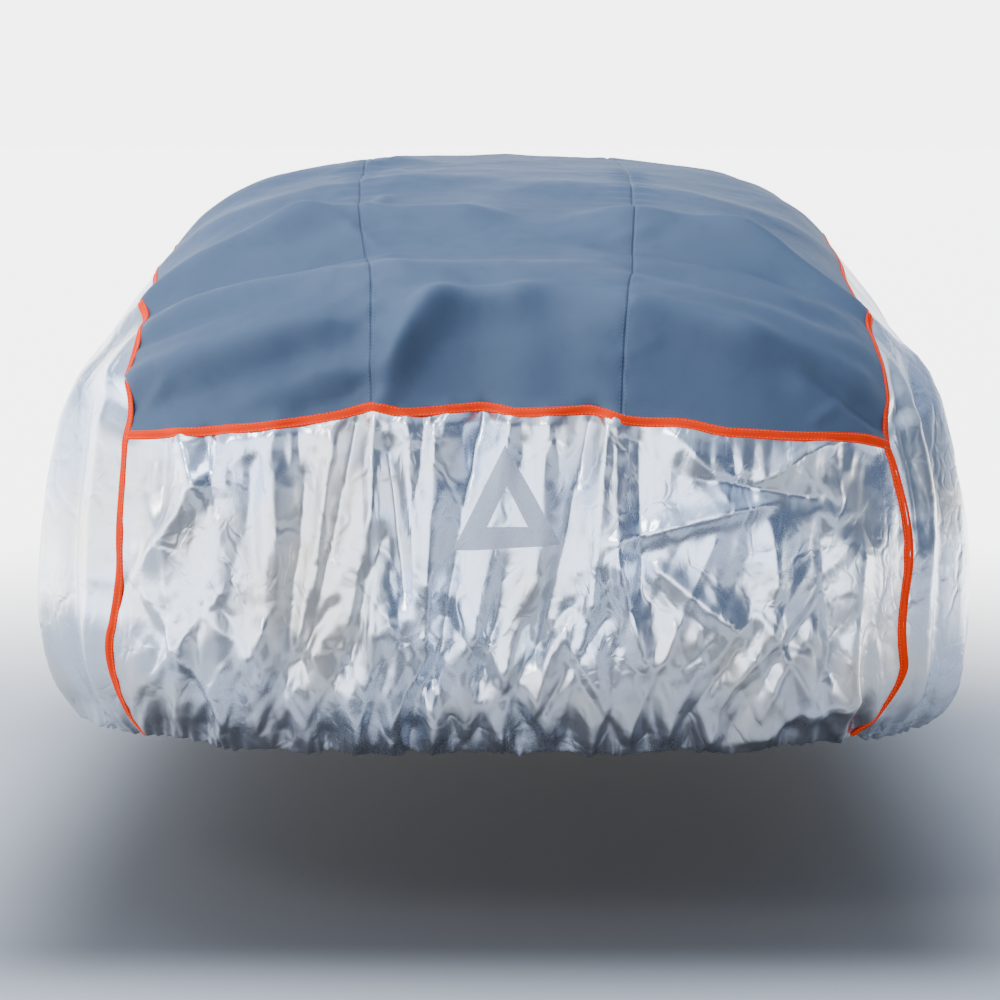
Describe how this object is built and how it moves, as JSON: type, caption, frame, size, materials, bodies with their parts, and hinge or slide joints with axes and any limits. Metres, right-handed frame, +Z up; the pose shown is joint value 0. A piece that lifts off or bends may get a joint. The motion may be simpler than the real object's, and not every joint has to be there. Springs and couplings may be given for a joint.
{
  "type": "car cover",
  "caption": "Fitted car cover: padded grey top sewn lengthwise, gathered silver film ends and sides, orange tape on its seams and a reflective triangle.",
  "frame": {"origin": "on the underside of the padded top at the middle of the roof, where the covered car's roof carries it", "axes": "+Z up, -Y out of the pictured end, +X to the right of someone who faces that end"},
  "size_m": [1.8798, 4.4218, 1.0985],
  "materials": {
    "padded_grey": "matte blue-grey foam-backed cloth",
    "silver_film": "crinkled metallic silver film on fleece",
    "orange_tape": "bright orange woven binding tape",
    "reflective_grey": "pale grey reflective sheet"
  },
  "bodies": {
    "root": {"padded_top_left": "padded_grey", "padded_top_centre": "padded_grey", "padded_top_right": "padded_grey", "near_end_panel": "silver_film", "far_end_panel": "silver_film", "side_panel_left": "silver_film", "side_panel_right": "silver_film", "near_cross_binding": "orange_tape", "far_cross_binding": "orange_tape", "left_side_binding": "orange_tape", "right_side_binding": "orange_tape", "reflective_triangle": "reflective_grey"}
  },
  "joints": []
}
